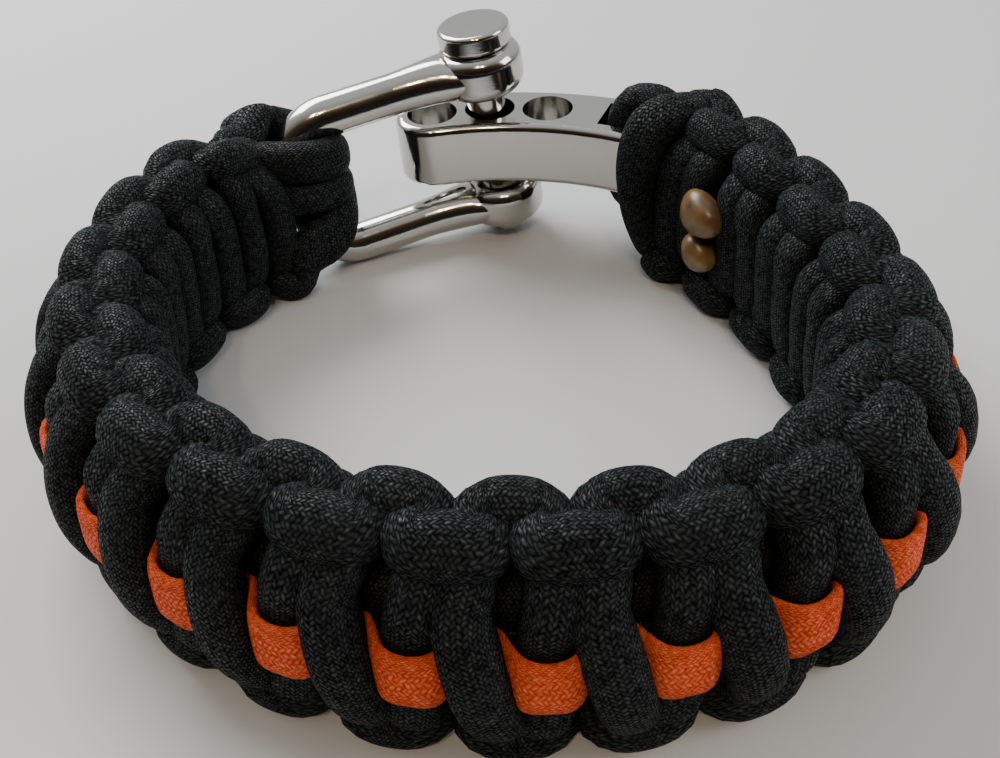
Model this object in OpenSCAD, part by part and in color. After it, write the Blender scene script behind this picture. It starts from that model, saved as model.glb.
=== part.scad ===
// Paracord bracelet in a cobra weave with an orange centre stripe, closed by a
// shackle whose screw pin passes through a curved adjuster bar with three holes.
// It lies on its edge: +Z is the axis of the wrist, the plain front is at -Y and
// the clasp at +Y. Stations run along the band from the shackle, round the front,
// to the bar. Across is up the width of the band and out is away from the wrist.

/* [Band] */
// Width of the woven band
band_w = 21; // [20:0.5:24]
// Length of one full knot along the band
pitch = 8.2; // [8:0.1:9]
// Diameter of the cords
cord_d = 4; // [3.6:0.1:4]
// Slope of the band, whose upper edge leans inwards
band_slope = 0.12; // [0:0.02:0.14]

/* [Stripe] */
// Width of the orange strip
stripe_w = 4.5; // [3:0.1:5]
// Thickness of the orange strip
stripe_t = 0.6; // [0.4:0.05:0.6]

/* [Melted ends] */
// Diameter of the upper melted end
upper_tip_d = 4.8; // [4:0.1:5]
// Diameter of the lower melted end
lower_tip_d = 4; // [3.4:0.1:4.4]

/* [Shackle] */
// Diameter of the bent rod
rod_d = 4.4; // [4:0.1:4.6]
// Distance between the two ears' middles
ear_span = 16; // [15.6:0.1:17]
// Length from the pin to the bow
bow_reach = 22.4; // [22:0.1:23]
// Radius of the bow's corners
bow_r = 4.8; // [4:0.1:5.5]
// Diameter of an ear
ear_d = 9.4; // [8.6:0.1:10]
// Height of an ear
ear_h = 5; // [4.4:0.1:5.4]
// Lean of the shackle and pin in the bar's hole
lean = 7.5; // [5:0.5:8]

/* [Screw pin] */
// Diameter of the pin
pin_d = 4.2; // [4:0.1:4.4]
// Diameter of the pin's head
head_d = 7.8; // [7:0.1:8.4]
// Height of the pin's head
head_h = 2.2; // [1.8:0.1:2.6]
// Length of the pin below the lower ear
pin_tail = 1.4; // [0.8:0.1:1.6]

/* [Adjuster bar] */
// Radial width of the bar
bar_w = 8.4; // [8:0.1:9]
// Height of the bar
bar_h = 7.2; // [6.4:0.1:7.4]
// Radius of the bar's curve
bar_r = 36; // [35:0.5:37]
// Diameter of the pin holes
hole_d = 5.6; // [5.4:0.1:5.8]
// Distance from hole to hole
hole_pitch = 6.5; // [6.3:0.1:6.7]
// Distance along the bar from the pin to the slot
slot_near = 12.9; // [12.6:0.1:13]
// Length of the slot
slot_l = 4.6; // [4.4:0.1:4.8]
// Distance along the bar from the pin to the middle of its round end
tip_reach = 20.9; // [20.6:0.1:21.2]
// Radius of the bar's edges
edge_r = 0.8; // [0.5:0.1:1]
// How far the bar has slid down the pin
bar_drop = 0.6; // [0.3:0.1:0.8]
// Tilt of the bar, whose far end is raised
bar_tilt = 2; // [0:0.5:3]

/* [Hidden] */
$fn = 48;
half = pitch / 2;
edge = band_w / 2;
mid_z = 0.982 * edge; // the bars reach this far from the middle and rest on the floor
knots = 19;
run = knots * pitch;
cord_sides = 7;
cord_black = [0.13, 0.15, 0.15];
steel = [0.78, 0.78, 0.76];

// plan of the band: knots along each bend and the degrees it turns
bends = [[1, 23], [5, 80], [5, 57], [2, 32], [2, 42], [1, 16], [3, 22], [2, 40]];
// where the band starts, and the way it heads there
start = [-23.4, 23.4, -146];
// middle of the bar's second hole, which the pin passes
clasp = [1.3, 32.7, mid_z + 2.1];
// the way from the pin to the bow, in plan
rod_way = 199;

function bend_step(p, s, rate) =
    rate == 0
    ? [p[0] + s * cos(p[2]), p[1] + s * sin(p[2]), p[2]]
    : let (h = p[2] + rate * s, r = 180 / PI / rate)
        [p[0] + r * (sin(h) - sin(p[2])), p[1] - r * (cos(h) - cos(p[2])), h];
function bend_at(s, i = 0, p = start) =
    s < 0
    ? bend_step(p, s, 0)
    : let (span = bends[i][0] * pitch, rate = bends[i][1] / span)
        s <= span || i == len(bends) - 1
        ? bend_step(p, s, rate)
        : bend_at(s - span, i + 1, bend_step(p, span, rate));
// the slope fades out at both ends, where the clasp holds the band upright
slopes = [[0, 0], [2 * pitch, band_slope], [run - 2 * pitch, band_slope], [run, 0]];
// a point at station s, across v and out n
function place(q) =
    let (b = bend_at(q[0]), n = q[2] - q[1] * lookup(q[0], slopes))
    [b[0] + n * sin(b[2]), b[1] - n * cos(b[2]), mid_z + q[1]];

function unit(a) = a / norm(a);

// One row of a cord: its point, the way its flat side faces, half width, half thickness
function ring(rows, k, sides) =
    let (
        last = len(rows) - 1,
        row = rows[k],
        way = unit(rows[min(k + 1, last)][0] - rows[max(k - 1, 0)][0]),
        side = unit(cross(way, row[1])),
        lift = cross(side, way)
    )
    [for (q = [0:sides - 1])
        let (a = 90 + 360 / sides * (q + 0.5))
        place(row[0] + side * row[2] * cos(a) + lift * row[3] * sin(a))];

module tube(rows) {
    n = len(rows);
    sides = cord_sides;
    points = [for (k = [0:n - 1]) each ring(rows, k, cord_sides)];
    walls = [for (k = [0:n - 2], q = [0:sides - 1])
        let (a = k * sides + q, b = k * sides + (q + 1) % sides)
        each [[a, b, a + sides], [b, b + sides, a + sides]]];
    polyhedron(points, concat(
        walls,
        [[for (q = [sides - 1:-1:0]) q]],
        [[for (q = [0:sides - 1]) (n - 1) * sides + q]]
    ));
}

// Rows of half a leg, from the middle of the face to the bar on the band's edge.
// Columns: along as a share of half a knot, across as a share of half the width,
// out as a share of the cord, the way out in degrees, half width and half thickness
// as shares of the cord.
under_edge = [
    [0.22, 0.55, 0.75, 54, 0.275, 0.34],
    [0.30, 0.585, 0.02, 18, 0.20, 0.255],
    [-0.02, 0.815, -0.45, -26, 0.31, 0.36],
    [-0.50, 0.82, -0.66, -46, 0.49, 0.40]
];
leg_under_stripe = concat([[0, 0.3, 0.87, 100, 0.44, 0.32]], under_edge);
leg_over_stripe = concat([[0, 0.3, 1.12, 100, 0.43, 0.42]], under_edge);
leg_over_middle = [0, 0, 1.28, 90, 0.42, 0.46];
leg_inside = concat([[0, 0.3, 0.95, 100, 0.44, 0.39]], under_edge);
// inner legs spread round the melted ends: leg and shift as a share of half a knot
spread = [[32, 0], [34, -0.12], [35, -0.2], [36, -0.3], [37, 0.3], [38, 0.22], [39, 0]];

// one row of leg j, on the upper half for up = 1 and the lower for up = -1
function leg_row(j, r, up, face) =
    let (
        way = (j % 2 == 0 ? 1 : -1) * up * face,
        shift = face < 0 && r[2] > 0.5 ? lookup(j, spread) * (r[1] > 0.4 ? 0.4 : 1) : 0
    )
    [
        [(j - 0.5 + r[0] * way + shift) * half, r[1] * edge * up, r[2] * cord_d * face],
        [0, cos(r[3]) * up, sin(r[3]) * face],
        r[4] * cord_d,
        r[5] * cord_d
    ];
function leg(j, face, rows, middle = []) =
    let (first = (j % 2 == 0 ? 1 : -1) * face)
    concat(
        [for (i = [3:-1:0]) leg_row(j, rows[i], first, face)],
        [for (r = middle) leg_row(j, r, 1, face)],
        [for (r = rows) leg_row(j, r, -first, face)]
    );
function outer_leg(j) = j % 2 == 0 ? leg(j, 1, leg_under_stripe) : leg(j, 1, leg_over_stripe, [leg_over_middle]);

// the cord's turn round the bow: turn is +1 over the outside first, -1 over the inside
bow = [
    clasp[0] + bow_reach * cos(rod_way) * cos(lean) - start[0],
    clasp[1] + bow_reach * sin(rod_way) - start[1]
];
bow_s = bow[0] * cos(start[2]) + bow[1] * sin(start[2]);
bow_n = bow[0] * sin(start[2]) - bow[1] * cos(start[2]);
hook_r = rod_d / 2 + cord_d * 0.45 + 0.55;
function hook_row(a, v, turn, w = 0.44, t = 0.48) =
    [[bow_s + hook_r * cos(a), v, bow_n + turn * hook_r * sin(a)], [0, 1, 0], w * cord_d, t * cord_d];
function hook(turn) =
    concat(
        [[[1.8, -turn * 2, 0], [0, 1, 0], 0.38 * cord_d, 0.48 * cord_d],
         [[0.2, -turn * 2.05, turn * 0.55], [0, 1, 0], 0.34 * cord_d, 0.48 * cord_d]],
        [for (a = [40:35:250]) hook_row(a, -turn * (2.05 + a / 600), turn)],
        [[[-3, -turn * 4.6, -turn * 4.2], [0, -turn * 0.3, -turn], 0.46 * cord_d, 0.42 * cord_d],
         [[-1.6, -turn * 7.2, -turn * 3.6], [0, -turn * 0.7, -turn * 0.8], 0.44 * cord_d, 0.4 * cord_d]]
    );

// the bar's end lies a little inside the band's middle
bar_n = -0.5;
// The last turn of each working cord round the bar's end. Columns: past the last knot
// in millimetres, then as for a leg.
function lash(face) =
    [for (r = [
        [0.8, 0.87, -0.2, 0, 0.38, 0.32],
        [1.4, 0.87, 0.5, 30, 0.38, 0.32],
        [2.3, 0.66, 1.02, 62, 0.42, 0.37],
        [2.8, 0.36, 1.34, 80, 0.42, 0.38],
        [2.9, 0, 1.44, 90, 0.44, 0.4],
        [2.8, -0.4, 1.2, 110, 0.4, 0.36],
        [2.6, -0.58, 0.96, 130, 0.34, 0.32]
    ])
        [[run + r[0], r[1] * edge * -face, r[2] * cord_d * face + bar_n],
         [0, cos(r[3]) * -face, sin(r[3]) * face], r[4] * cord_d, r[5] * cord_d]];

module outer_working_cord() {
    color(cord_black)
    tube(concat(
        hook(1),
        [leg_row(1, under_edge[3], -1, 1)],
        [for (j = [1:2 * knots]) each outer_leg(j)],
        lash(1)
    ));
}

module inner_working_cord() {
    color(cord_black)
    tube(concat(
        hook(-1),
        [leg_row(1, under_edge[3], 1, -1)],
        [for (j = [1:2 * knots]) each leg(j, -1, leg_inside)],
        lash(-1)
    ));
}

// The core: along the upper side, over the bar's end wall, down its slot and back.
// Columns of the turn: past the last knot, across and out in millimetres, and the
// cord's thickness as a share, because it is squeezed in the slot.
module core_cord() {
    r = cord_d * 0.48;
    up = [0, 0, 1];
    apart = cord_d / 2 + 0.02; // of each line from the band's middle
    flat = concat([2.6], [for (s = [7:8:run - 5]) s]);
    top = [for (s = flat) [[s, apart, 0], up, r, r]];
    low = [for (k = [len(flat) - 1:-1:0]) [[flat[k], -apart, 0], up, r, r]];
    turn = [for (q = [
        [-3, 2.1, 0, 1],
        [-0.8, 2.7, -0.1, 0.92],
        [0.5, 3.7, -0.2, 0.86],
        [1.35, 5, -0.3, 0.8],
        [2.1, 6.45, -0.35, 0.76],
        [3.4, 7.55, -0.45, 0.78],
        [4.7, 7.8, -0.6, 0.94],
        [6.2, 7.75, -0.8, 0.97],
        [7.7, 7.2, -0.95, 1],
        [8.5, 5.8, -1.05, 1],
        [8.7, 3.8, -1.05, 1],
        [8.7, 0.3, -1.05, 1],
        [8.5, -1.6, -1.05, 1],
        [7.8, -3, -0.95, 1],
        [6.5, -3.7, -0.85, 1],
        [4.5, -3.7, -0.6, 1],
        [2.6, -3.6, -0.4, 0.94],
        [0.5, -3, -0.2, 0.92],
        [-3, -2.1, 0, 1]
    ]) [[run + q[0], q[1], q[2]], up, r * q[3], r * q[3]]];
    color(cord_black) tube(concat(top, turn, low));
}

module centre_stripe() {
    // shares: the strip rides over the short legs and dips under the long ones
    rows = [for (j = [1:2 * knots]) each
        let (over = j % 2 == 0, out = (over ? 1.31 : j == 1 ? 0.66 : 0.61) * cord_d, f = over ? 0.3 : 0.26)
        [for (e = [-1, 1]) [(j - 0.5 + e * f) * half, 0, out]]];
    n = len(rows);
    color([0.93, 0.38, 0.1])
    polyhedron(
        [for (k = [0:n - 1]) each
            let (
                before = unit(rows[max(k, 1)] - rows[max(k, 1) - 1]),
                after = unit(rows[min(k, n - 2) + 1] - rows[min(k, n - 2)]),
                way = unit(before + after),
                lift = cross(way, [0, 1, 0]) * stripe_t / 2 / (way * before)
            )
            [for (c = [[1, 1], [-1, 1], [-1, -1], [1, -1]])
                place(rows[k] + [0, c[0] * stripe_w / 2, 0] + lift * c[1])]],
        concat(
            [for (k = [0:n - 2], q = [0:3])
                let (a = k * 4 + q, b = k * 4 + (q + 1) % 4)
                each [[a, a + 4, b], [b, a + 4, b + 4]]],
            [[0, 1, 2, 3]],
            [[for (q = [3:-1:0]) (n - 1) * 4 + q]]
        )
    );
}

// a melted end: a rounded drop on a short stalk between two inner legs
tip_leg = 36;
tip_t = 2.8;
stalk_l = 3.9;
module melted_end(across, d) {
    station = tip_leg * half;
    b = bend_at(station);
    translate(place([station, across, -1.55 * cord_d]))
        rotate([0, 0, b[2] + 90])
        rotate([0, 90, 0]) {
            rounded_disc(d, tip_t, 1.3);
            translate([0, 0, -stalk_l]) cylinder(h = stalk_l + 0.1, d = d * 0.5);
        }
}

module upper_melted_end() {
    color([0.55, 0.33, 0.17]) melted_end(2.7, upper_tip_d);
}

module lower_melted_end() {
    color([0.55, 0.33, 0.17]) melted_end(-2.1, lower_tip_d);
}

// the shackle and its pin lean together in the bar's hole
module leaning() {
    translate(clasp) rotate([0, -lean, 0]) children();
}

// outline of a disc with rounded edges, turned about its axis
module rounded_disc(d, h, r) {
    rotate_extrude() {
        translate([0, -h / 2]) square([d / 2 - r, h]);
        translate([0, r - h / 2]) square([d / 2, h - 2 * r]);
        for (z = [r - h / 2, h / 2 - r])
            translate([d / 2 - r, z]) intersection() {
                circle(r = r);
                translate([0, z < 0 ? -r : 0]) square([r, r]);
            }
    }
}

module shackle() {
    reach = bow_reach - bow_r;
    drop = ear_span / 2 - bow_r;
    color(steel)
    leaning() {
        difference() {
            rotate([0, 0, rod_way]) {
                for (side = [-1, 1]) {
                    translate([0, 0, side * ear_span / 2]) rounded_disc(ear_d, ear_h, 1.6);
                    translate([0, 0, side * ear_span / 2]) rotate([0, 90, 0]) cylinder(h = reach, d = rod_d);
                    translate([reach, 0, side * drop])
                        rotate([90, 0, 0])
                        rotate_extrude(angle = side * 90, $fn = 64)
                        translate([bow_r, 0]) circle(d = rod_d, $fn = 32);
                }
                translate([bow_reach, 0, -drop]) cylinder(h = 2 * drop, d = rod_d, $fn = 32);
            }
            cylinder(h = ear_span + 2 * ear_h, d = pin_d + 0.1, center = true);
        }
    }
}

module screw_pin() {
    top = ear_span / 2 + ear_h / 2;
    color(steel)
    leaning() {
        translate([0, 0, -top - pin_tail]) cylinder(h = 2 * top + pin_tail + 0.5, d = pin_d);
        translate([0, 0, top + 0.1 + head_h / 2]) rounded_disc(head_d, head_h, 0.5);
    }
}

// the bar curves with the wrist; its second hole is at the clasp's middle
bar_turn = 86;
function arc(length) = length / bar_r * 180 / PI;
hole_turn = arc(hole_pitch);
slot_from = bar_turn - arc(slot_near);
end_turn = bar_turn - arc(tip_reach - bar_w / 2);

module bar_outline(w) {
    for (z = [-1, 1], x = [-1, 1])
        translate([x * (w / 2 - edge_r), z * (bar_h / 2 - edge_r)]) circle(r = edge_r);
    square([w - 2 * edge_r, bar_h], center = true);
    square([w, bar_h - 2 * edge_r], center = true);
}

module adjuster_bar() {
    first = bar_turn + hole_turn;
    slot_w = cord_d + 0.8;
    color(steel)
    translate(clasp - [0, 0, bar_drop])
    rotate([0, -bar_tilt, 0])
    translate([-bar_r * cos(bar_turn), -bar_r * sin(bar_turn), 0])
    difference() {
        union() {
            rotate([0, 0, end_turn])
                rotate_extrude(angle = first - end_turn, $fn = 96)
                translate([bar_r, 0]) bar_outline(bar_w);
            for (a = [first, end_turn])
                rotate([0, 0, a]) translate([bar_r, 0, 0]) rounded_disc(bar_w - 0.04, bar_h - 0.04, edge_r);
        }
        for (k = [-1:1])
            rotate([0, 0, bar_turn - k * hole_turn])
                translate([bar_r, 0, 0]) cylinder(h = bar_h + 2, d = hole_d, center = true);
        rotate([0, 0, slot_from - arc(slot_l)])
            rotate_extrude(angle = arc(slot_l), $fn = 96)
            translate([bar_r, 0]) square([slot_w, bar_h + 2], center = true);
    }
}

outer_working_cord();
inner_working_cord();
core_cord();
centre_stripe();
upper_melted_end();
lower_melted_end();
shackle();
screw_pin();
adjuster_bar();
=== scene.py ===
# Paracord bracelet: a cobra weave of black cord with an orange strip, a steel shackle and its bar
import math
import bmesh
import bpy
from mathutils import Matrix, Vector

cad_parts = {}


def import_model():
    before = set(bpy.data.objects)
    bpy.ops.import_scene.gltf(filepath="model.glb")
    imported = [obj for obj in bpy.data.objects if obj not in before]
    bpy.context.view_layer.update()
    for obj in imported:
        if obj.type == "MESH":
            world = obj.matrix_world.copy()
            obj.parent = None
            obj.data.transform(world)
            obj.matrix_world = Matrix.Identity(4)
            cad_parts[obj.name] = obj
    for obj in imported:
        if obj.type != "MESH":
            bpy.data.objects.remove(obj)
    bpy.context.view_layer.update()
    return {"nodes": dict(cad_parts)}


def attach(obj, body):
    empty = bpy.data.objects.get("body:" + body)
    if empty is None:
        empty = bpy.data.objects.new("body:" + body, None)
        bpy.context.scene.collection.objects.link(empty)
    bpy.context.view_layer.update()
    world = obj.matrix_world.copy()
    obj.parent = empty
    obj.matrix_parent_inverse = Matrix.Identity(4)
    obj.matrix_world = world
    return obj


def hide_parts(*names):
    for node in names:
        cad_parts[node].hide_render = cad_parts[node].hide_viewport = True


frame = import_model()
mm = 0.001
print("frame loaded")


# colours and nodes

def srgb(hexColour):
    parts = [int(hexColour[k:k + 2], 16) / 255 for k in (1, 3, 5)]
    linear = [c / 12.92 if c <= 0.04045 else ((c + 0.055) / 1.055) ** 2.4 for c in parts]
    return (*linear, 1)


def addNode(tree, kind, values=None, links=None, **settings):
    # a link comes from a socket, or from the first output of a node
    node = tree.nodes.new(kind)
    for key, value in settings.items():
        setattr(node, key, value)
    for key, value in (values or {}).items():
        node.inputs[key].default_value = value
    for key, source in (links or {}).items():
        socket = source.outputs[0] if isinstance(source, bpy.types.Node) else source
        tree.links.new(socket, node.inputs[key])
    return node


def calculate(tree, operation, *terms):
    # each term is a number, or what a link comes from
    numbers = {k: t for k, t in enumerate(terms) if isinstance(t, (int, float))}
    sources = {k: t for k, t in enumerate(terms) if k not in numbers}
    return addNode(tree, "ShaderNodeMath", numbers, sources, operation=operation)


def newMaterial(name):
    material = bpy.data.materials.new(name)
    material.use_nodes = True
    tree = material.node_tree
    tree.nodes.clear()
    return material, tree


def noise(tree, perMillimetre, detail):
    # even over the whole object, so that a piece's own size doesn't stretch it
    coords = addNode(tree, "ShaderNodeTexCoord").outputs["Object"]
    return addNode(tree, "ShaderNodeTexNoise", {"Scale": perMillimetre / mm, "Detail": detail},
                   {"Vector": coords})


def twoColours(tree, source, low, lowAt, high, highAt):
    ramp = addNode(tree, "ShaderNodeValToRGB", links={0: source})
    first, last = ramp.color_ramp.elements
    first.position = lowAt
    first.color = srgb(low)
    last.position = highAt
    last.color = srgb(high)
    return ramp


def surface(tree, values, links=None):
    shader = addNode(tree, "ShaderNodeBsdfPrincipled", values, links)
    addNode(tree, "ShaderNodeOutputMaterial", links={"Surface": shader})


# the band, in millimetres as in the model: stations run along it from the shackle round the front

band = dict(
    width=21.0,
    knots=19,
    pitch=8.2,                     # one full knot
    cord=4.0,
    middle=10.311,                 # height of the band's middle
    slope=0.12,                    # the upper edge leans inwards and the lower edge outwards
    spread=0.04,                   # the lower edge a little more, on the surface
    leanKnots=2,                   # the lean grows over the first knots and fades over the last
    neck=0.16,                     # the shackle draws the upper half together
    neckRun=10,                    # as far as this from it
    pressed=0.7,                   # away from the clasp the band lies further in, as in the photo
    pressedFrom=20,
    pressedTo=5,                   # before its end at the bar
    pressedRun=20,
    start=(-23.4, 23.4, -146.0),   # x, y and heading in degrees
    bends=[(1, 23), (5, 80), (5, 57), (2, 32), (2, 42), (1, 16), (3, 22), (2, 40)],   # knots, degrees
)
half = band["pitch"] / 2
edge = band["width"] / 2
cordD = band["cord"]
run = band["knots"] * band["pitch"]


def grown(distance, over):
    # from 0 to 1 over a distance
    return max(0, min(1, distance / over))


def bendStep(p, s, rate):
    # s millimetres on from p, turning by rate degrees a millimetre
    heading = math.radians(p[2])
    if rate == 0:
        return (p[0] + s * math.cos(heading), p[1] + s * math.sin(heading), p[2])
    radius = math.degrees(1) / rate
    turned = math.radians(p[2] + rate * s)
    return (p[0] + radius * (math.sin(turned) - math.sin(heading)),
            p[1] - radius * (math.cos(turned) - math.cos(heading)),
            p[2] + rate * s)


def bendAt(s):
    # x, y and heading at a station: straight before the start, and past the end the last bend goes on
    p = band["start"]
    if s < 0:
        return bendStep(p, s, 0)
    for k, (knots, degrees) in enumerate(band["bends"]):
        span = knots * band["pitch"]
        if s <= span or k == len(band["bends"]) - 1:
            return bendStep(p, s, degrees / span)
        p = bendStep(p, span, degrees / span)
        s -= span


def place(s, v, n):
    # a point at station s, across v and out n, in metres
    x, y, heading = bendAt(s)
    a = math.radians(heading)
    n -= band["pressed"] * min(grown(s - band["pressedFrom"], band["pressedRun"]),
                               grown(run - s - band["pressedTo"], band["pressedRun"]))
    if v > 0:
        v *= 1 - band["neck"] * (1 - grown(s, band["neckRun"]))
    lean = band["slope"] + (band["spread"] if v < 0 else 0)
    leanRun = band["leanKnots"] * band["pitch"]
    n -= v * lean * min(grown(s, leanRun), grown(run - s, leanRun))
    return Vector((x + n * math.sin(a), y - n * math.cos(a), band["middle"] + v)) * mm


# cords

def smoothRows(rows, step):
    # a rounded line through the rows, with a ring about every step millimetres
    points = [Vector(r[0]) for r in rows]
    knots = [0.0]
    for a, b in zip(points, points[1:]):
        knots.append(knots[-1] + max((b - a).length, 0.01) ** 0.5)
    values = [list(r[0]) + list(Vector(r[1]).normalized()) + list(r[2:]) for r in rows]

    def tangent(k):
        if k == 0 or k == len(rows) - 1:
            j = 0 if k == 0 else k - 1
            return [(b - a) / (knots[j + 1] - knots[j]) for a, b in zip(values[j], values[j + 1])]
        d0 = knots[k] - knots[k - 1]
        d1 = knots[k + 1] - knots[k]
        return [((b - a) / d0 * d1 + (c - b) / d1 * d0) / (d0 + d1)
                for a, b, c in zip(values[k - 1], values[k], values[k + 1])]

    out = []
    for k in range(len(rows) - 1):
        h = knots[k + 1] - knots[k]
        t0, t1 = tangent(k), tangent(k + 1)
        count = max(2, round((points[k + 1] - points[k]).length / step))
        for i in range(count):
            t = i / count
            a = (1 + 2 * t) * (1 - t) ** 2
            b = t * (1 - t) ** 2 * h
            c = t * t * (3 - 2 * t)
            d = t * t * (t - 1) * h
            out.append([a * p + b * q + c * r + d * u
                        for p, q, r, u in zip(values[k], t0, values[k + 1], t1)])
    out.append(values[-1])
    return out


def cordTube(name, rows, sides=20, step=0.5, square=0.82, where=place):
    # rows hold a point, the way the flat side faces, half width and half thickness; a section is
    # round where square is 1 and boxier below it
    rings = smoothRows(rows, step)
    count = len(rings)
    bm = bmesh.new()
    uv = bm.loops.layers.uv.new("UVMap")
    bmesh.ops.create_grid(bm, x_segments=sides, y_segments=count - 1, size=1, calc_uvs=True)
    bm.verts.ensure_lookup_table()
    points = [Vector(r[:3]) for r in rings]
    along = [0.0]
    for a, b in zip(points, points[1:]):
        along.append(along[-1] + (b - a).length)
    for k, ring in enumerate(rings):
        way = (points[min(k + 1, count - 1)] - points[max(k - 1, 0)]).normalized()
        side = way.cross(Vector(ring[3:6])).normalized()
        lift = side.cross(way)
        for q in range(sides + 1):
            a = 2 * math.pi * q / sides
            ca, sa = math.cos(a), math.sin(a)
            p = (points[k]
                 + side * ring[6] * math.copysign(abs(ca) ** square, ca)
                 + lift * ring[7] * math.copysign(abs(sa) ** square, sa))
            bm.verts[k * (sides + 1) + q].co = where(*p)
    for face in bm.faces:
        for loop in face.loops:
            k, q = divmod(loop.vert.index, sides + 1)
            loop[uv].uv = (q / sides, along[k] * mm)
        face.smooth = True
    bmesh.ops.remove_doubles(bm, verts=bm.verts, dist=1e-6)
    bmesh.ops.holes_fill(bm, edges=[e for e in bm.edges if e.is_boundary], sides=0)
    bmesh.ops.recalc_face_normals(bm, faces=bm.faces)
    return meshObject(name, bm)


def meshObject(name, bm):
    mesh = bpy.data.meshes.new(name)
    bm.to_mesh(mesh)
    bm.free()
    obj = bpy.data.objects.new(name, mesh)
    bpy.context.scene.collection.objects.link(obj)
    return obj


# Half a leg, from the middle of the face to the bar on the band's edge: along as a share of half
# a knot, across as a share of half the width, out as a share of the cord, the way out in degrees,
# half width and half thickness as shares of the cord
weave = dict(
    leaving=[
        (0.17, 0.62, 0.50, 44, 0.50, 0.43),
        (0.18, 0.69, 0.10, 8, 0.40, 0.46),
        (0.12, 0.76, -0.24, -38, 0.50, 0.46),
        (-0.06, 0.77, -0.40, -53, 0.52, 0.47),
        (-0.50, 0.79, -0.42, -54, 0.55, 0.49),
    ],
    arriving=[
        (0.17, 0.62, 0.50, 44, 0.50, 0.43),
        (0.18, 0.68, 0.12, 10, 0.40, 0.46),
        (0.13, 0.74, -0.20, -34, 0.49, 0.46),
        (-0.04, 0.765, -0.38, -52, 0.52, 0.47),
    ],
    underStripe=[(0, 0.3, 0.92, 96, 0.46, 0.38), (0.08, 0.48, 0.86, 66, 0.47, 0.42)],
    overStripe=[(0.16, 0.3, 1.15, 100, 0.48, 0.46), (0.27, 0.48, 0.90, 66, 0.48, 0.43)],
    overMiddle=[(0, 0, 1.30, 90, 0.49, 0.46)],
    inside=[(0, 0.3, 0.94, 100, 0.53, 0.42), (0.08, 0.5, 0.88, 66, 0.54, 0.43)],
    # on the lower edge the bars' two rows, past this depth, lie further apart, most of all the inner one
    deep=-0.3,
    apart=dict(outer=1.55, inner=2.45),
    # where they lie on the face, inner legs lean towards the bow at the one end and part round the
    # melted ends at the other, by these shares of half a knot, and less past a share of half the width
    onFace=0.5,
    spread={1: -0.24, 2: -0.16, 3: -0.12, 4: -0.05, 34: -0.12, 35: -0.2, 36: -0.3, 37: 0.3, 38: 0.22},
    spreadPast=0.4,
    spreadLess=0.4,
)


def legRow(j, row, up, face):
    # up is 1 above the band's middle and -1 below, face is 1 on the outer face and -1 on the inner one
    along, across, out, degrees, wide, thick = row
    way = (1 if j % 2 == 0 else -1) * up * face
    shift = 0
    if face < 0 and out > weave["onFace"]:
        shift = weave["spread"].get(j, 0) * (weave["spreadLess"] if across > weave["spreadPast"] else 1)
    if up < 0 and out < weave["deep"]:
        out *= weave["apart"]["inner" if face > 0 else "outer"]
    a = math.radians(degrees)
    return [((j - 0.5 + along * way + shift) * half, across * edge * up, out * cordD * face),
            (0, math.cos(a) * up, math.sin(a) * face), wide * cordD, thick * cordD]


def leg(j, face, rows, middle=()):
    # across the face from the bar before it to the bar after it
    first = (1 if j % 2 == 0 else -1) * face
    return ([legRow(j, r, first, face) for r in reversed(rows + weave["arriving"])]
            + [legRow(j, r, 1, face) for r in middle]
            + [legRow(j, r, -first, face) for r in rows + weave["leaving"]])


# the turn of each cord round the shackle's bow
bow = dict(
    station=-4.19,
    out=-0.41,
    radius=4.0,
    # degrees round the bow and height
    upper=[(40, 6.8), (75, 6.6), (110, 5.9), (145, 5.0), (180, 4.4), (215, 4.8), (250, 5.6)],
    lower=[(40, -1.6), (75, -0.8), (110, -0.2), (145, -0.1), (180, -0.9), (215, -2.2), (250, -3.6)],
    wide=0.64,                     # half width as a share of the cord
    wideLast=0.76,                 # and from this many degrees on
    lastFrom=200,
    thick=0.43,
    # from the cord's end in the first knot: station, share of the first height, out, and half width
    # and half thickness as shares of the cord
    lead=[(2.2, 0.85, 0.6, 0.50, 0.44), (0.4, 1, 1.8, 0.58, 0.43)],
    leadTilt=0.2,
    # back to the weave: station, millimetres past the last height, out, the way out in two parts,
    # and half width and half thickness
    tail=[(-2.4, 1.6, 4.3, 0.3, 1, 0.82, 0.44), (-1.1, 3.3, 3.6, 0.7, 0.8, 0.72, 0.46)],
)


def bowPoint(a, v, turn):
    # a point round the bow, turn 1 on the outside and -1 on the inside, and the way out from the bow
    c, s = math.cos(math.radians(a)), math.sin(math.radians(a))
    r = bow["radius"]
    return (bow["station"] + r * c, v, bow["out"] + turn * r * s), (c, 0, turn * s)


def hook(turn):
    # turn is 1 over the outside first, for the lower turn, and -1 over the inside, for the upper one
    turns = bow["lower" if turn > 0 else "upper"]
    before, after = turns[0][1], turns[-1][1]
    rows = [[(s, before * share, turn * out), (0, bow["leadTilt"], turn), wide * cordD, thick * cordD]
            for s, share, out, wide, thick in bow["lead"]]
    for a, v in turns:
        wide = bow["wide"] if a < bow["lastFrom"] else bow["wideLast"]
        rows.append([*bowPoint(a, v, turn), wide * cordD, bow["thick"] * cordD])
    for s, past, out, wayAcross, wayOut, wide, thick in bow["tail"]:
        rows.append([(s, after - turn * past, -turn * out), (0, -turn * wayAcross, -turn * wayOut),
                     wide * cordD, thick * cordD])
    return rows


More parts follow.
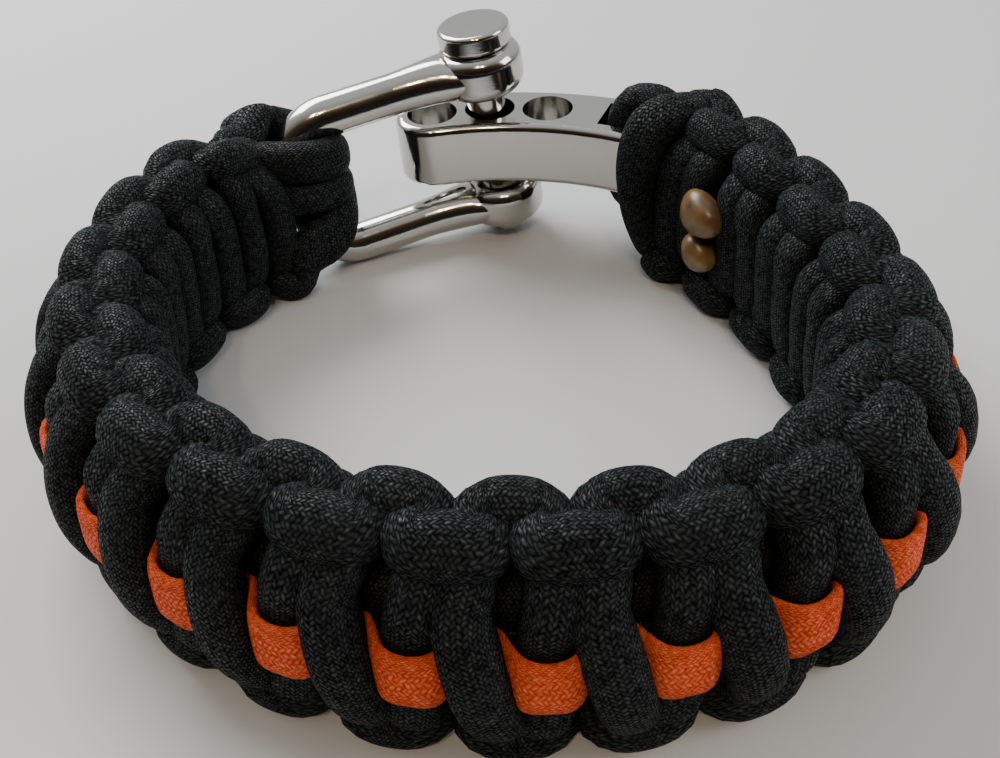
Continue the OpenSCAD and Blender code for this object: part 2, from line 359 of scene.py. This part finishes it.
# the last turns, round the bar's end: millimetres past the last knot, and the rest as for half a leg
lashing = dict(
    inset=0.5,                     # the bar's end lies this much inwards
    rows=[
        (0.6, 0.79, -0.20, 0, 0.50, 0.46),
        (1.5, 0.79, 0.50, 30, 0.66, 0.50),
        (2.7, 0.68, 1.02, 62, 0.80, 0.50),
        (3.2, 0.40, 1.32, 80, 0.80, 0.46),
        (2.9, 0, 1.40, 90, 0.60, 0.45),
        (2.2, -0.36, 1.20, 108, 0.48, 0.44),
        (1.4, -0.64, 0.86, 130, 0.48, 0.44),
        (0.7, -0.79, 0.30, 160, 0.50, 0.46),
        (-0.2, -0.79, -0.30, 200, 0.46, 0.44),
    ],
)


def lash(face):
    rows = []
    for past, across, out, degrees, wide, thick in lashing["rows"]:
        a = math.radians(degrees)
        rows.append([(run + past, across * edge * -face, out * cordD * face - lashing["inset"]),
                     (0, -face * math.cos(a), face * math.sin(a)), wide * cordD, thick * cordD])
    return rows


def outerCord():
    rows = hook(1) + [legRow(1, weave["leaving"][-1], -1, 1)]
    for j in range(1, 2 * band["knots"] + 1):
        if j % 2 == 0:
            rows += leg(j, 1, weave["underStripe"])
        else:
            rows += leg(j, 1, weave["overStripe"], weave["overMiddle"])
    return cordTube("outerWorkingCord", rows + lash(1))


def innerCord():
    rows = hook(-1) + [legRow(1, weave["leaving"][-1], 1, -1)]
    for j in range(1, 2 * band["knots"] + 1):
        rows += leg(j, -1, weave["inside"])
    return cordTube("innerWorkingCord", rows + lash(-1))


core = dict(
    across=2.02,                   # how far off the middle each of its two lines lies
    first=2.6,                     # stations where they are held
    second=7,
    every=8,
    # round the bow too, between the turns of the working cords: degrees and height
    bow=[(180, 0.2), (140, 1.0), (100, 1.6), (60, 1.9)],
    bowWide=1.1,                   # pressed there, as shares of its radius
    bowThick=0.86,
    # over the bar's end wall and down through its slot: millimetres past the last knot, across and
    # out, and the share of its radius
    turn=[
        (-3, 2.1, 0, 1), (-0.8, 2.7, -0.1, 0.92), (0.5, 3.7, -0.2, 0.86), (1.35, 5, -0.3, 0.8),
        (2.1, 6.45, -0.35, 0.78), (3.4, 7.55, -0.45, 0.8), (4.7, 7.8, -0.6, 0.95), (6.2, 7.75, -0.8, 0.98),
        (7.7, 7.2, -0.95, 1), (8.5, 5.8, -1.05, 1), (8.7, 3.8, -1.05, 1), (8.7, 0.3, -1.05, 1),
        (8.5, -1.6, -1.05, 1), (7.8, -3, -0.95, 1), (6.5, -3.7, -0.85, 1), (4.5, -3.7, -0.6, 1),
        (2.6, -3.6, -0.4, 0.94), (0.5, -3, -0.2, 0.92), (-3, -2.1, 0, 1),
    ],
)


def coreCord():
    r = cordD / 2
    wide, thick = core["bowWide"] * r, core["bowThick"] * r
    stations = [core["first"]] + [core["second"] + core["every"] * k for k in range(band["knots"] - 1)]
    rows = [[*bowPoint(a, v, -1), wide, thick] for a, v in core["bow"]]
    rows += [[(s, core["across"], 0), (0, 0, 1), r, r] for s in stations]
    rows += [[(run + past, across, out), (0, 0, 1), r * share, r * share]
             for past, across, out, share in core["turn"]]
    rows += [[(s, -core["across"], 0), (0, 0, 1), r, r] for s in reversed(stations)]
    rows += [[*bowPoint(a, -v, 1), wide, thick] for a, v in reversed(core["bow"])]
    return cordTube("coreCord", rows, step=0.8)


stripe = dict(
    height=0.35,                   # above the band's middle
    halfWidth=2.42,
    halfThick=0.45,
    over=1.35,                     # how far out it lies over a leg, as a share of the cord
    under=0.74,                    # and under one
    flatOver=0.35,                 # how far it runs flat there, as shares of half a knot
    flatUnder=0.22,
    bulge=0.3,                     # a patch stands out in the middle
    patchEnd=1.04,                 # and is wider at its ends than the strip is elsewhere
    elsewhere=0.96,
    opened=5,                      # its first end is folded narrow, and opens over these half knots
    square=0.7,
)


def centreStripe():
    rows = []
    for j in range(1, 2 * band["knots"] + 1):
        over = j % 2 == 0
        out = (stripe["over"] if over else stripe["under"]) * cordD
        flat = stripe["flatOver"] if over else stripe["flatUnder"]
        for end in (-1, 0, 1):
            bulge = stripe["bulge"] if end == 0 and over else 0
            flare = stripe["patchEnd"] if end != 0 and over else stripe["elsewhere"]
            wide = stripe["halfWidth"] * flare * grown(j + 1, stripe["opened"])
            rows.append([((j - 0.5 + end * flat) * half, stripe["height"], out + bulge), (0, 0, 1),
                         wide, stripe["halfThick"]])
    return cordTube("centreStripe", rows, square=stripe["square"])


# set drops of molten nylon between two inner legs, uneven as they ran
drops = dict(
    station=36 * half,
    out=-1.5 * cordD,
    depth=1.7,
    # waves over a drop: height as a share of it, radians along and across, and how much a drop's
    # own place moves them on
    waves=[(0.06, 1.6, 2.2, 1), (0.04, -2, 2.6, 0)],
    upper=dict(across=2.7, width=6.3, height=5.0),
    lower=dict(across=-2.1, width=4.6, height=4.1),
)


def meltedDrop(name, across, width, height):
    bm = bmesh.new()
    bmesh.ops.create_icosphere(bm, subdivisions=4, radius=1)
    for vert in bm.verts:
        p = vert.co.copy()
        p *= 1 + sum(high * math.sin(x * p.x + y * p.y + moved * across)
                     for high, x, y, moved in drops["waves"])
        vert.co = place(drops["station"] + p.x * width / 2, across + p.y * height / 2,
                        drops["out"] - p.z * drops["depth"])
    bmesh.ops.recalc_face_normals(bm, faces=bm.faces)
    for face in bm.faces:
        face.smooth = True
    return meshObject(name, bm)


shackle = dict(
    middle=(1.3, 32.7, 12.411),    # of the pin, half way between the ears
    lean=-7.5,
    way=199,                       # from the pin to the bow, in degrees from +X
    ears=dict(lowerRodFlare=-8, upperRodFlare=8),
    # its rods widen into the ears: distance from the pin, half width and half height
    flare=[(2.6, 3.7, 2.2), (4, 3.4, 2.4), (5.2, 3, 2.43), (6.8, 2.6, 2.36), (8.6, 2.32, 2.25),
           (10.5, 2.18, 2.18)],
)


def claspPoint(x, y, z):
    p = Matrix.Rotation(math.radians(shackle["way"]), 4, "Z") @ Vector((x, y, z))
    p = Matrix.Rotation(math.radians(shackle["lean"]), 4, "Y") @ p
    return (p + Vector(shackle["middle"])) * mm


def rodFlare(name, ear):
    rows = [[(x, 0, ear), (0, 0, 1), wide, high] for x, wide, high in shackle["flare"]]
    return cordTube(name, rows, sides=48, step=0.3, square=1, where=claspPoint)


# materials, with lengths in millimetres and noise counted per millimetre

sheath = dict(
    yarns=40,                      # each way round a 4 mm cord, so a pick is 0.31 mm wide
    pickLength=0.34,
    yarnFall=1.9,                  # how a yarn's round section falls to its sides
    yarnPower=2.2,
    hump=0.75,                     # how much higher the middle of a pick is than its ends
    fuzz=2.6,                      # loose fibres
    pull=1.1,                      # yarns drawn out of line
    patch=0.16,                    # rubbed patches
    pullAcross=0.7,                # as a share of a yarn
    pullAlong=0.6,                 # as a share of a pick
    paintedPickShading=0.5,                # how much each one lightens the colour; the yarn's height paints sheen on the picks' tops and shade in the gaps
    tonePatch=0.4,
    toneFuzz=1.3,
    fuzzMiddle=0.45,
    shadedGapAt=0.12,                    # the tones at which the two colours are reached: the gaps' painted shade and the picks' painted sheen
    yarnAt=0.95,
    fuzzBump=0.2,
    fleckPower=4,                  # only the highest fibres glint
    fleckGain=10,
    glintPower=2,                  # and only on top of a pick
    ior=1.53,
    rough=0.55,
)
# the gap colour is painted shade in the gaps between the picks; the yarn colour is reached on the picks'
# tops, with painted sheen
blackCord = dict(shadedGap="#0D0E0F", yarn="#2A2F30", depth=0.05, gloss=0.28)
orangeCord = dict(shadedGap="#BE3812", yarn="#FA7040", depth=0.07, gloss=0.5)


def braid(tree, u, v):
    # a braid of yarns over two and under two: height of the yarn on top, from 0 to 1
    over = 2
    around = calculate(tree, "MULTIPLY", u, sheath["yarns"])
    down = calculate(tree, "MULTIPLY", v, 1 / (sheath["pickLength"] * mm))
    right = calculate(tree, "ADD", around, down)
    left = calculate(tree, "SUBTRACT", around, down)
    heights = []
    for yarn, other, offset in ((right, left, 0), (left, right, over)):
        cell = calculate(tree, "FLOOR", yarn)
        # down from the middle of the yarn to its sides
        fall = calculate(tree, "SUBTRACT", yarn, cell)
        fall = calculate(tree, "SUBTRACT", fall, 0.5)
        fall = calculate(tree, "ABSOLUTE", fall)
        fall = calculate(tree, "MULTIPLY", fall, sheath["yarnFall"])
        fall = calculate(tree, "POWER", fall, sheath["yarnPower"])
        # along the yarn, where it lies over and where under
        pick = calculate(tree, "ADD", cell, other)
        pick = calculate(tree, "ADD", pick, offset)
        pick = calculate(tree, "FLOORED_MODULO", pick, 2 * over)
        shown = calculate(tree, "LESS_THAN", pick, over)
        height = calculate(tree, "MULTIPLY", pick, math.pi / over)
        height = calculate(tree, "SINE", height)
        height = calculate(tree, "MULTIPLY", height, sheath["hump"])
        height = calculate(tree, "ADD", height, 1 - sheath["hump"])
        height = calculate(tree, "SUBTRACT", height, fall)
        height = calculate(tree, "MAXIMUM", height, 0)
        heights.append(calculate(tree, "MULTIPLY", height, shown))
    return calculate(tree, "ADD", *heights)


def cordMaterial(name, look):
    # braided nylon sheath: painted sheen on each pick, painted shade in the dark gaps between them, and
    # fine glinting fibres
    material, tree = newMaterial(name)
    fuzz = noise(tree, sheath["fuzz"], 2)
    pull = noise(tree, sheath["pull"], 1)
    patch = noise(tree, sheath["patch"], 2)
    uv = addNode(tree, "ShaderNodeUVMap", uv_map="UVMap")
    parts = addNode(tree, "ShaderNodeSeparateXYZ", links={0: uv})
    u = calculate(tree, "MULTIPLY", pull, sheath["pullAcross"] / sheath["yarns"])
    u = calculate(tree, "ADD", u, parts.outputs[0])
    v = calculate(tree, "MULTIPLY", pull, sheath["pullAlong"] * sheath["pickLength"] * mm)
    v = calculate(tree, "ADD", v, parts.outputs[1])
    height = braid(tree, u, v)
    # the yarn's height paints sheen on the picks' tops and shade in the gaps between them; rubbed patches
    # and loose fibres add wear and random tone
    sheenShadeAndWear = calculate(tree, "MULTIPLY", height, sheath["paintedPickShading"])
    rubbed = calculate(tree, "MULTIPLY", patch, sheath["tonePatch"])
    sheenShadeAndWear = calculate(tree, "ADD", rubbed, sheenShadeAndWear)
    fibres = calculate(tree, "SUBTRACT", fuzz, sheath["fuzzMiddle"])
    fibres = calculate(tree, "MULTIPLY", fibres, sheath["toneFuzz"])
    sheenShadeAndWear = calculate(tree, "ADD", fibres, sheenShadeAndWear)
    colour = twoColours(tree, sheenShadeAndWear, look["shadedGap"], sheath["shadedGapAt"], look["yarn"], sheath["yarnAt"])
    bump = calculate(tree, "MULTIPLY", fuzz, sheath["fuzzBump"])
    bump = calculate(tree, "ADD", bump, height)
    normal = addNode(tree, "ShaderNodeBump", {"Strength": 1, "Distance": look["depth"] * mm},
                     {"Height": bump})
    fleck = calculate(tree, "POWER", fuzz, sheath["fleckPower"])
    fleck = calculate(tree, "MULTIPLY", fleck, look["gloss"] * sheath["fleckGain"])
    glint = calculate(tree, "POWER", height, sheath["glintPower"])
    glint = calculate(tree, "MULTIPLY", glint, fleck)
    surface(tree, {"IOR": sheath["ior"], "Roughness": sheath["rough"]},
            {"Base Color": colour, "Specular IOR Level": glint, "Normal": normal})
    return material


steelLook = dict(
    colour="#C2C0BA",
    smudge=0.22,
    scratch=(0.9, 0.9, 9),         # long and fine, as from wiping round
    rough=0.06,
    smudged=0.14,                  # what the smudges add
    bump=0.12,
    depth=0.04,
)


def steelMaterial():
    # polished stainless steel: mirror finish with fine wiping scratches and faint smudges
    material, tree = newMaterial("polishedStainlessSteel")
    smudge = noise(tree, steelLook["smudge"], 4)
    rough = calculate(tree, "MULTIPLY", smudge, steelLook["smudged"])
    rough = calculate(tree, "ADD", rough, steelLook["rough"])
    coords = addNode(tree, "ShaderNodeTexCoord").outputs["Object"]
    stretch = addNode(tree, "ShaderNodeMapping", {"Scale": [k / mm for k in steelLook["scratch"]]},
                      {"Vector": coords})
    scratch = addNode(tree, "ShaderNodeTexNoise", {"Scale": 1, "Detail": 3}, {"Vector": stretch})
    normal = addNode(tree, "ShaderNodeBump",
                     {"Strength": steelLook["bump"], "Distance": steelLook["depth"] * mm},
                     {"Height": scratch})
    surface(tree, {"Base Color": srgb(steelLook["colour"]), "Metallic": 1},
            {"Roughness": rough, "Normal": normal})
    return material


meltedLook = dict(
    dark="#4A3322",
    light="#8F7040",
    darkAt=0.3,
    lightAt=0.75,
    cloud=0.42,
    bump=0.3,
    depth=0.2,
    ior=1.53,
    rough=0.32,
    glow=0.25,                     # the share of light that passes through its skin
    glowDepth=1,
)


def meltedMaterial():
    # nylon melted by a flame: amber brown, glossy and a little cloudy
    material, tree = newMaterial("meltedNylon")
    cloud = noise(tree, meltedLook["cloud"], 3)
    colour = twoColours(tree, cloud, meltedLook["dark"], meltedLook["darkAt"],
                        meltedLook["light"], meltedLook["lightAt"])
    normal = addNode(tree, "ShaderNodeBump",
                     {"Strength": meltedLook["bump"], "Distance": meltedLook["depth"] * mm},
                     {"Height": cloud})
    surface(tree,
            {"IOR": meltedLook["ior"], "Roughness": meltedLook["rough"],
             "Subsurface Weight": meltedLook["glow"],
             "Subsurface Scale": meltedLook["glowDepth"] * mm},
            {"Base Color": colour, "Normal": normal})
    return material


blackNylon = cordMaterial("blackNylonSheath", blackCord)
orangeNylon = cordMaterial("orangeNylonSheath", orangeCord)
steel = steelMaterial()
melted = meltedMaterial()

pieces = [
    (outerCord(), "outer_working_cord", "dark_cord", blackNylon),
    (innerCord(), "inner_working_cord", "dark_cord", blackNylon),
    (coreCord(), "core_cord", "dark_cord", blackNylon),
    (centreStripe(), "centre_stripe", "orange_cord", orangeNylon),
    (meltedDrop("upperMeltedEnd", **drops["upper"]), "upper_melted_end", "melted_nylon", melted),
    (meltedDrop("lowerMeltedEnd", **drops["lower"]), "lower_melted_end", "melted_nylon", melted),
]
for obj, node, slot, material in pieces:
    obj.data.materials.append(material)
    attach(obj, "bracelet")
    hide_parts(node)
print("cords woven and ends melted")

for name, ear in shackle["ears"].items():
    obj = rodFlare(name, ear)
    obj.data.materials.append(steel)
    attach(obj, "bracelet")
for node in ("shackle", "screw_pin", "adjuster_bar"):
    obj = frame["nodes"][node]
    obj.data.materials.clear()
    obj.data.materials.append(steel)
print("metal dressed")


# floor, light and camera

studio = dict(
    camera=(1.066, -67.76, 67.3),  # millimetres
    target=(1.07, 4.89, -0.19),
    roll=-0.041,                   # radians
    lens=35.06,
    sensor=36,
    clip=(0.005, 10),              # metres
    floorHalf=3,                   # metres
    floorColour="#CBCCCD",
    floorRough=0.8,
    # pale over the back of the table, a dim warm room towards the front
    room=[(0.0, "#2A2019"), (0.3, "#4B3B2E"), (0.45, "#97928C"), (0.75, "#D4D7DB")],
    roomTilt=0.5,
    roomMiddle=0.3,
    # position, aim and size in metres, watts and colour
    lamps=dict(
        windowSoft=((-0.17, 0.22, 0.25), (-0.04, 0.06, 0), (0.25, 0.2), 1.8, "#FFFFFF"),
        sideFill=((0.5, -0.05, 0.3), (0, 0, 0), (0.25, 0.3), 1.2, "#FFFFFF"),
        lampLeft=((-0.07, -0.26, 0.42), (0, 0, 0), (0.03, 0.03), 0.32, "#FFE6C4"),
        lampRight=((0.02, -0.28, 0.42), (0, 0, 0), (0.03, 0.03), 0.32, "#FFE6C4"),
    ),
)


def floor():
    bm = bmesh.new()
    bmesh.ops.create_grid(bm, x_segments=1, y_segments=1, size=studio["floorHalf"])
    obj = meshObject("floor", bm)
    material, tree = newMaterial("paleFloor")
    surface(tree, {"Base Color": srgb(studio["floorColour"]), "Roughness": studio["floorRough"]})
    obj.data.materials.append(material)


def areaLight(name, position, aim, size, power, colour):
    data = bpy.data.lights.new(name, "AREA")
    data.shape = "RECTANGLE"
    data.size, data.size_y = size
    data.energy = power
    data.color = srgb(colour)[:3]
    obj = bpy.data.objects.new(name, data)
    bpy.context.scene.collection.objects.link(obj)
    obj.location = position
    obj.rotation_euler = (Vector(aim) - Vector(position)).to_track_quat("-Z", "Y").to_euler()


def world():
    data = bpy.data.worlds.new("softStudio")
    bpy.context.scene.world = data
    data.use_nodes = True
    tree = data.node_tree
    tree.nodes.clear()
    coords = addNode(tree, "ShaderNodeTexCoord")
    parts = addNode(tree, "ShaderNodeSeparateXYZ", links={0: coords.outputs["Generated"]})
    way = calculate(tree, "ADD", parts.outputs[1], parts.outputs[2])
    way = calculate(tree, "MULTIPLY", way, studio["roomTilt"])
    way = calculate(tree, "ADD", way, studio["roomMiddle"])
    ramp = addNode(tree, "ShaderNodeValToRGB", links={0: way})
    while len(ramp.color_ramp.elements) < len(studio["room"]):
        ramp.color_ramp.elements.new(0.5)
    for stop, (position, colour) in zip(ramp.color_ramp.elements, studio["room"]):
        stop.position = position
        stop.color = srgb(colour)
    background = addNode(tree, "ShaderNodeBackground", {"Strength": 1}, {"Color": ramp})
    addNode(tree, "ShaderNodeOutputWorld", links={"Surface": background})


def camera():
    data = bpy.data.cameras.new("photoCamera")
    data.lens = studio["lens"]
    data.sensor_width = studio["sensor"]
    data.clip_start, data.clip_end = studio["clip"]
    obj = bpy.data.objects.new("photoCamera", data)
    bpy.context.scene.collection.objects.link(obj)
    eye = Vector(studio["camera"]) * mm
    look = Vector(studio["target"]) * mm - eye
    turn = look.to_track_quat("-Z", "Y").to_matrix().to_4x4() @ Matrix.Rotation(studio["roll"], 4, "Z")
    obj.matrix_world = Matrix.Translation(eye) @ turn
    bpy.context.scene.camera = obj


floor()
world()
for name, values in studio["lamps"].items():
    areaLight(name, *values)
camera()
print("stage set")
